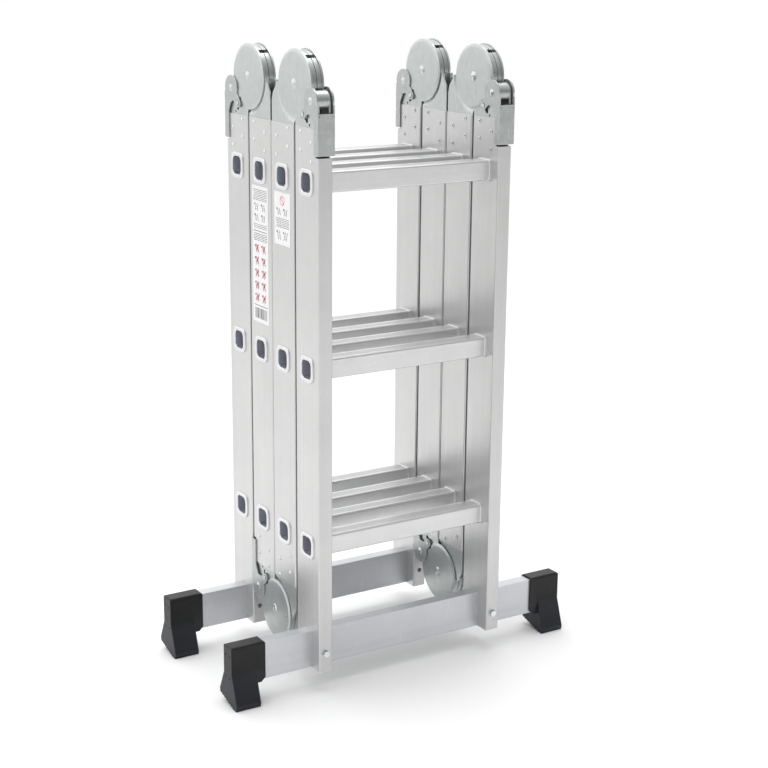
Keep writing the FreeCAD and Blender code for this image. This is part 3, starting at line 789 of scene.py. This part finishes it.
@dataclass
class LadderSection:
    """One section: two rails, three rungs and the rivets in the rails."""

    section: Section
    finishes: Finishes
    bore_reach: float = 0.0146
    bore_lean: float = 0.3
    rung_gap: float = 0.1

    def build(self) -> None:
        """Dress the rails, rungs and rivets."""
        name = self.section.value
        for side in ("left", "right"):
            dress(f"{name}_{side}_stile", self.finishes.get(RAIL))
        rungs = dress(f"{name}_rungs", self.finishes.get(RUNG))
        self._paint_bore_light(rungs)
        dress(f"{name}_rivets", self.finishes.get(RIVET))

    def _paint_bore_light(self, rungs: bpy.types.Object) -> None:
        """Give the insides of the rung tubes a brighter, bluish copy of the aluminium: painted light that sets
        how the shaded tube insides look.

        A face belongs to a bore if it looks inward, lies no further out than bore_reach and leans towards X
        by less than bore_lean.

        Args:
            rungs: the section's rungs.
        """
        mesh = rungs.data
        # The painted-light copy goes on the tube insides.
        mesh.materials.append(self.finishes.get(BORE_PAINTED_LIGHT))
        bore_slot = len(mesh.materials) - 1
        low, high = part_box(rungs.name)
        middle = (low.y + high.y) / 2
        heights = self._rung_heights(mesh)
        for face in mesh.polygons:
            rung = min(heights, key=lambda height: abs(face.center.z - height))
            off = Vector((face.center.y - middle, face.center.z - rung))
            inward = face.normal.y * off.x + face.normal.z * off.y < 0
            along = abs(face.normal.x) < self.bore_lean
            if inward and along and max(abs(off.x), abs(off.y)) < self.bore_reach:
                face.material_index = bore_slot

    def _rung_heights(self, mesh: bpy.types.Mesh) -> list[float]:
        """Find the heights of the rungs' middles from the groups of vertices up the section.

        Args:
            mesh: the mesh of the rungs.

        Returns:
            The height of each rung's middle, from the lowest up.
        """
        levels = sorted({round(vertex.co.z, SAME_LEVEL_DIGITS) for vertex in mesh.vertices})
        groups = [[levels[0]]]
        for level in levels[1:]:
            if level - groups[-1][-1] > self.rung_gap:
                groups.append([])
            groups[-1].append(level)
        return [(group[0] + group[-1]) / 2 for group in groups]


@dataclass
class Stabilizer:
    """The bar under an outer section with its bolts and rubber feet."""

    section: Section
    finishes: Finishes

    def build(self) -> None:
        """Dress the bar, bolts and feet."""
        name = self.section.value
        dress(f"{name}_stabilizer_bar", self.finishes.get(BAR))
        dress(f"{name}_stabilizer_bolts", self.finishes.get(BOLT))
        for side in ("left", "right"):
            dress(f"{name}_{side}_foot", self.finishes.get(RUBBER))


@dataclass
class LeverSprings:
    """The two coil springs of a fold line, each around a lever's pivot with a hooked leg at either end.

    The pitch is the distance between turns in thicknesses of the wire.
    """

    fold: FoldLine
    finishes: Finishes
    wire: float = 0.0012
    turns: float = 5.5
    pitch: float = 1.12
    points_per_turn: int = 28
    long_leg: float = 0.026
    short_leg: float = 0.013
    hook: float = 0.0035
    hook_depth: float = 0.5
    leg_steps: int = 4
    bend_steps: int = 3

    def build(self) -> bpy.types.Object:
        """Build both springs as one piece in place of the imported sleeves.

        Returns:
            The springs' object.
        """
        node = f"{self.fold.value}_lever_springs"
        low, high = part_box(node)
        joint = next(j for j in frame["joints"] if j["name"] == self.fold.value)
        axis = Vector(joint["pos_m"])
        outward = math.copysign(1.0, (low.y + high.y) / 2 - axis.y)
        downward = math.copysign(1.0, (low.z + high.z) / 2 - axis.z)
        radius = (high.z - low.z) / 2 - self.wire / 2
        length = self.turns * self.wire * self.pitch
        centre = Vector((0.0, (low.y + high.y) / 2, (low.z + high.z) / 2))
        bm = bmesh.new()
        sleeve = self._sleeve_length(node)
        for side in (-1.0, 1.0):
            middle = centre + Vector((side * (high.x - sleeve / 2), 0.0, 0.0))
            add_wire(bm, self._path(middle, radius, length, outward, downward), self.wire / 2)
        body = frame["nodes"][node]["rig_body"]
        name = f"{self.fold.value}_coil_springs"
        springs = new_piece(name, bm, self.finishes.get(SPRING), body)
        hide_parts(node)
        return springs

    def _sleeve_length(self, node: str) -> float:
        """Length along X of one packed sleeve."""
        right = [vertex.co.x for vertex in frame["nodes"][node].data.vertices if vertex.co.x > 0]
        return max(right) - min(right)

    def _path(
        self, middle: Vector, radius: float, length: float, outward: float, downward: float
    ) -> list[Vector]:
        """The wire's middle line: hook, leg, turns, leg, hook.

        Args:
            middle: the middle of the coil.
            radius: radius of the wire's middle line.
            length: length of the coil along X.
            outward: which way along Y the lever's cover lies.
            downward: which way along Z the rail lies.

        Returns:
            Points from one end of the wire to the other.
        """
        count = int(self.turns * self.points_per_turn)
        coil = []
        for index in range(count + 1):
            share = index / count
            turn = 2 * math.pi * self.turns * share
            ring = Vector((0.0, outward * math.cos(turn) * radius, downward * math.sin(turn) * radius))
            coil.append(middle + ring + Vector(((share - 0.5) * length, 0.0, 0.0)))
        down = Vector((0.0, 0.0, downward))
        first = self._leg(coil[0], down, self.long_leg, Vector((-self.hook, 0.0, 0.0)))
        last = self._leg(coil[-1], down, self.short_leg, Vector((self.hook, 0.0, 0.0)))
        return list(reversed(first)) + coil + last

    def _leg(self, start: Vector, along: Vector, length: float, hook: Vector) -> list[Vector]:
        """Lay out a straight leg with a hooked end.

        Args:
            start: the end of the coil.
            along: which way the leg runs.
            length: length of its straight part.
            hook: the way and length of its hook.

        Returns:
            Its points; the first is one step from the coil.
        """
        steps = self.leg_steps
        points = [start + along * (length * step / steps) for step in range(1, steps + 1)]
        corner = points[-1]
        for step in range(1, self.bend_steps + 1):
            turn = math.pi / 2 * step / self.bend_steps
            rise = along * hook.length * math.sin(turn) * self.hook_depth
            points.append(corner + hook * (1 - math.cos(turn)) + rise)
        points.append(points[-1] + hook)
        return points


@dataclass
class HingePair:
    """The left and right locking hinge of one fold line, with levers, lock pins, pivots and springs."""

    fold: FoldLine
    finishes: Finishes

    def build(self) -> None:
        """Dress the plates, levers and pins and build the springs."""
        name = self.fold.value
        for side in ("left", "right"):
            dress(f"{name}_{side}_outer_plates", self.finishes.get(HINGE))
            dress(f"{name}_{side}_inner_plates", self.finishes.get(HINGE))
            dress(f"{name}_{side}_lever", self.finishes.get(LEVER))
            dress(f"{name}_{side}_lock_pin", self.finishes.get(LOCK_PIN))
        dress(f"{name}_hinge_pins", self.finishes.get(HINGE_PIN))
        dress(f"{name}_lever_pivots", self.finishes.get(HINGE_PIN))
        LeverSprings(self.fold, self.finishes).build()


@dataclass
class StickerPrint:
    """The generic printing on one sticker: rows of fine dashes, plain pictogram shapes and red crosses.

    A heading's ring has a radius that is a share of its band's smaller side, and its wall and bar are shares
    of that radius.  The other sizes ending in _share are shares of a pictogram's row.
    """

    node: str
    name: str
    finishes: Finishes
    seed: int
    margin: float = 0.004
    thickness: float = 0.00008
    line_pitch: float = 0.0026
    line_height: float = 0.0009
    dash: Span = (0.003, 0.011)
    dash_gap: float = 0.0014
    heading_radius_share: float = 0.40
    heading_wall_share: float = 0.2
    heading_bar_share: Span = (1.5, 0.22)
    figure_height: float = 0.019
    figure_leans: tuple[float, ...] = (68.0, 76.0, 104.0, 112.0)
    figure_rails_apart: float = 0.0068
    figure_rail_share: float = 0.72
    figure_rail_width: float = 0.0010
    figure_step_share: float = 0.18
    figure_step: Span = (0.0068, 0.0008)
    dot_aside: float = 0.0062
    dot_rise_share: float = 0.25
    dot_radius: float = 0.0017
    dot_wall: float = 0.0016
    cross: Span = (0.0135, 0.0024)
    cross_turns: Span = (52.0, 128.0)
    cross_aside: float = 0.001
    cross_drop_share: float = 0.42
    rule_height: float = 0.001
    bar_widths: tuple[float, ...] = (0.0012, 0.0020, 0.0032)
    bar_gap: float = 0.0018
    bar_inset: float = 0.002
    draw: random.Random = field(init=False)
    x: Span = field(init=False)
    y: Span = field(init=False)
    meshes: dict[Ink, bmesh.types.BMesh] = field(init=False)

    def build(self, bands: list[tuple[str, float]]) -> None:
        """Print the bands from the top of the sticker down.

        Args:
            bands: kind of each band and its share of the sticker's height.
        """
        low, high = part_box(self.node)
        self.draw = random.Random(self.seed)
        self.x = (low.x - self.thickness, low.x)
        self.y = (low.y + self.margin, high.y - self.margin)
        self.meshes = {ink: bmesh.new() for ink in Ink}
        top = high.z - self.margin
        height = high.z - low.z - 2 * self.margin
        painters = {
            "lines": self._lines, "figures": self._figures, "crosses": self._crosses,
            "rule": self._rule, "heading": self._heading, "bars": self._bars,
        }
        for kind, share in bands:
            painters[kind]((top - share * height, top))
            top -= share * height
        body = frame["nodes"][self.node]["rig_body"]
        for ink, bm in self.meshes.items():
            if bm.faces:
                name = f"{self.name}_{ink.value}_print"
                new_piece(name, bm, self.finishes.get(INKS[ink]), body)
            else:
                bm.free()

    def _box(self, ink: Ink, y: Span, z: Span) -> None:
        """A printed rectangle."""
        add_slab(self.meshes[ink], [(y[0], z[0]), (y[1], z[0]), (y[1], z[1]), (y[0], z[1])], self.x)

    def _stroke(self, ink: Ink, centre: Spot, size: Span, turn: float = 0.0) -> None:
        """Add a printed bar.

        Args:
            ink: its colour.
            centre: its middle.
            size: its length and width.
            turn: degrees that it is turned by.
        """
        length, width = size
        c, s = math.cos(math.radians(turn)), math.sin(math.radians(turn))
        corners = [(-length, -width), (length, -width), (length, width), (-length, width)]
        outline = [(centre[0] + (a * c - b * s) / 2, centre[1] + (a * s + b * c) / 2) for a, b in corners]
        add_slab(self.meshes[ink], outline, self.x)

    def _ring(self, ink: Ink, centre: Spot, radius: float, wall: float, sides: int) -> None:
        """Add a printed ring of short bars.

        Args:
            ink: its colour.
            centre: its middle.
            radius: its outer radius.
            wall: how wide its band is.
            sides: how many bars it has.
        """
        step = 2 * math.pi / sides
        inner = radius - wall
        for side in range(sides):
            first, last = side * step, (side + 1) * step
            outline = []
            for reach, turn in ((radius, first), (radius, last), (inner, last), (inner, first)):
                outline.append((centre[0] + reach * math.cos(turn), centre[1] + reach * math.sin(turn)))
            add_slab(self.meshes[ink], outline, self.x)

    def _cells(self, z: Span, aside: float = 0.0, drop_share: float = 0.5) -> tuple[float, list[Spot]]:
        """Lay out two columns of pictograms.

        Args:
            z: the band's bottom and top.
            aside: how far their middles are moved back along Y.
            drop_share: how far down its row a middle lies.

        Returns:
            The height of a row, and the middles, row by row.
        """
        width = (self.y[1] - self.y[0]) / 2
        rows = max(1, round((z[1] - z[0]) / self.figure_height))
        pitch = (z[1] - z[0]) / rows
        columns = [self.y[0] + width * (column + 0.5) - aside for column in range(2)]
        return pitch, [(y, z[1] - pitch * (row + drop_share)) for row in range(rows) for y in columns]

    def _lines(self, z: Span) -> None:
        """Print rows of short dashes of uneven length, in place of small print.

        Args:
            z: the band's bottom and top.
        """
        row = z[1] - self.line_pitch
        while row > z[0] + self.line_pitch / 2:
            y = self.y[0]
            while y < self.y[1] - self.dash[0]:
                end = min(y + self.draw.uniform(*self.dash), self.y[1])
                self._box(Ink.BLACK, (y, end), (row, row + self.line_height))
                y = end + self.dash_gap
            row -= self.line_pitch

    def _heading(self, z: Span) -> None:
        """Print a red ring with a bar across it.

        Args:
            z: the band's bottom and top.
        """
        middle = (sum(self.y) / 2, sum(z) / 2)
        radius = min(z[1] - z[0], self.y[1] - self.y[0]) * self.heading_radius_share
        length, width = self.heading_bar_share
        self._ring(Ink.RED, middle, radius, radius * self.heading_wall_share, sides=28)
        self._stroke(Ink.RED, middle, (radius * length, radius * width), turn=45.0)

    def _figures(self, z: Span) -> None:
        """Print two columns of plain pictograms: slanted rails, steps and round dots.

        Args:
            z: the band's bottom and top.
        """
        pitch, middles = self._cells(z)
        rail = (pitch * self.figure_rail_share, self.figure_rail_width)
        apart = self.figure_rails_apart / 2
        for y, height in middles:
            lean = self.draw.choice(self.figure_leans)
            for shift in (-apart, apart):
                self._stroke(Ink.BLACK, (y + shift, height), rail, lean)
            for step in (-1, 0, 1):
                rise = step * pitch * self.figure_step_share
                self._stroke(Ink.GREY, (y, height + rise), self.figure_step)
            dot = (y + self.dot_aside, height + pitch * self.dot_rise_share)
            self._ring(Ink.BLACK, dot, self.dot_radius, self.dot_wall, sides=8)

    def _crosses(self, z: Span) -> None:
        """Print two columns of pictograms struck through in red.

        Args:
            z: the band's bottom and top.
        """
        self._figures(z)
        flat = self.x
        self.x = (flat[0] - self.thickness / 2, flat[1])
        for middle in self._cells(z, self.cross_aside, self.cross_drop_share)[1]:
            for turn in self.cross_turns:
                self._stroke(Ink.RED, middle, self.cross, turn)
        self.x = flat

    def _rule(self, z: Span) -> None:
        """Print a thin line across the sticker."""
        middle = sum(z) / 2
        self._box(Ink.BLACK, self.y, (middle - self.rule_height / 2, middle + self.rule_height / 2))

    def _bars(self, z: Span) -> None:
        """Print a row of plain upright bars of several widths.

        Args:
            z: the band's bottom and top.
        """
        inset = self.bar_inset
        y = self.y[0] + inset
        while y < self.y[1] - 2 * inset:
            width = self.draw.choice(self.bar_widths)
            self._box(Ink.BLACK, (y, y + width), (z[0] + inset, z[1] - inset))
            y += width + self.bar_gap


@dataclass
class Stickers:
    """The two stickers on the left rails of the inner sections."""

    finishes: Finishes

    def build(self) -> None:
        """Dress the films and print them."""
        for node in ("rear_inner_label", "front_inner_label"):
            dress(node, self.finishes.get(STICKER))
        tall = [("lines", 0.10), ("figures", 0.16), ("lines", 0.05), ("rule", 0.02), ("lines", 0.08)]
        tall += [("crosses", 0.47), ("rule", 0.02), ("bars", 0.10)]
        StickerPrint("rear_inner_label", "rear_inner_sticker", self.finishes, seed=11).build(tall)
        short = [("heading", 0.25), ("figures", 0.22), ("lines", 0.25), ("figures", 0.28)]
        StickerPrint("front_inner_label", "front_inner_sticker", self.finishes, seed=23).build(short)


# ---------------------------------------------------------------------------------------------------------
# Studio and camera


@dataclass(frozen=True)
class SoftLight:
    """A square soft light: where it stands, the point it faces, the length of its sides and its power."""

    name: str
    place: Point
    aim: Point
    size: float
    watts: float

    def build(self) -> None:
        """Make the light."""
        data = bpy.data.lights.new(self.name, "AREA")
        data.size = self.size
        data.energy = self.watts
        light = bpy.data.objects.new(self.name, data)
        bpy.context.scene.collection.objects.link(light)
        light.location = self.place
        light.rotation_euler = (Vector(self.aim) - Vector(self.place)).to_track_quat("-Z", "Y").to_euler()


KEY = SoftLight("key", (-2.6, -0.9, 2.0), (0.0, 0.0, 0.5), size=2.4, watts=7.0)
OVERHEAD = SoftLight("overhead", (0.2, 0.3, 3.2), (0.0, 0.0, 0.4), size=2.2, watts=34.0)


@dataclass
class Studio:
    """A plain pale floor, a white surround that is brightest behind and above, and soft lights."""

    floor_size: float = 160.0
    floor_colour: Colour = (0.97, 0.97, 0.97)
    floor_roughness: Span = (0.85, 0.95)
    floor_patch_scale: float = 3.0
    surround: Span = (0.05, 1.55)
    bright_side: Point = (-0.30, 0.85, 0.45)
    lights: tuple[SoftLight, ...] = (KEY, OVERHEAD)

    def build(self) -> None:
        """Make the floor, the surround and the lights."""
        self._floor()
        self._surround()
        for light in self.lights:
            light.build()
        view = bpy.context.scene.view_settings
        view.view_transform = "Standard"
        view.look = "None"

    def _floor(self) -> None:
        """A large plain floor with a faint unevenness in its gloss."""
        mesh = bpy.data.meshes.new("floor")
        half = self.floor_size / 2
        corners = [(-half, -half, 0.0), (half, -half, 0.0), (half, half, 0.0), (-half, half, 0.0)]
        mesh.from_pydata(corners, [], [(0, 1, 2, 3)])
        floor = bpy.data.objects.new("floor", mesh)
        bpy.context.scene.collection.objects.link(floor)
        material, nodes, shader = start_material("floor_pale_paper")
        shader.inputs["Base Color"].default_value = rgba(self.floor_colour)
        patch = nodes.noise(nodes.place(), self.floor_patch_scale)
        nodes.link(nodes.spread(patch, *self.floor_roughness), shader.inputs["Roughness"])
        mesh.materials.append(material)

    def _surround(self) -> None:
        """A surround that lights most from behind, above and the left, and looks white itself."""
        world = bpy.data.worlds.new("surround")
        world.use_nodes = True
        bpy.context.scene.world = world
        nodes = Nodes(world.node_tree)
        background = world.node_tree.nodes["Background"]
        background.inputs["Color"].default_value = rgba(WHITE)
        direction = nodes.add("ShaderNodeTexCoord").outputs["Generated"]
        inputs = {0: direction, 1: Vector(self.bright_side).normalized()}
        side = nodes.add("ShaderNodeVectorMath", inputs, operation="DOT_PRODUCT").outputs["Value"]
        lit = nodes.spread(side, *self.surround, start=-1.0, end=1.0)
        seen = nodes.add("ShaderNodeLightPath").outputs["Is Camera Ray"]
        nodes.link(nodes.spread(seen, lit, 1.0), background.inputs["Strength"])


@dataclass
class Camera:
    """The view: from the front left and a little above, aimed beside the middle of the ladder's box."""

    azimuth_deg: float = -31.75
    down_deg: float = 15.06
    roll_deg: float = 0.53
    lens_mm: float = 75.92
    sensor_mm: float = 36.0
    distance: float = 2.605
    aside: float = 0.0289
    below: float = 0.0463
    far_clip: float = 400.0

    def build(self) -> bpy.types.Object:
        """Make the camera and set it as the scene's.

        Returns:
            The camera.
        """
        turn, tilt, roll = map(math.radians, (-self.azimuth_deg, self.down_deg, self.roll_deg))
        forward = Vector((math.sin(turn) * math.cos(tilt), math.cos(turn) * math.cos(tilt), -math.sin(tilt)))
        right = forward.cross(Vector((0.0, 0.0, 1.0))).normalized()
        up = right.cross(forward)
        low, high = CAD_BOX
        aim = (Vector(low) + Vector(high)) / 2 + right * self.aside - up * self.below
        level = right * math.cos(roll) + up * math.sin(roll)
        raised = up * math.cos(roll) - right * math.sin(roll)
        data = bpy.data.cameras.new("camera")
        data.lens = self.lens_mm
        data.sensor_width = self.sensor_mm
        data.clip_end = self.far_clip
        camera = bpy.data.objects.new("camera", data)
        bpy.context.scene.collection.objects.link(camera)
        axes = Matrix((level, raised, -forward)).transposed().to_4x4()
        camera.matrix_world = Matrix.Translation(aim - forward * self.distance) @ axes
        bpy.context.scene.camera = camera
        return camera


def main() -> None:
    """Build the camera, the studio and every sub-assembly in order."""
    logging.basicConfig(level=logging.INFO, format="%(name)s: %(message)s")
    Camera().build()
    Studio().build()
    finishes = Finishes(Effects())
    for section in Section:
        LadderSection(section, finishes).build()
    for section in (Section.FRONT_OUTER, Section.REAR_OUTER):
        Stabilizer(section, finishes).build()
    for fold in FoldLine:
        HingePair(fold, finishes).build()
    Stickers(finishes).build()


if __name__ == "__main__":
    main()
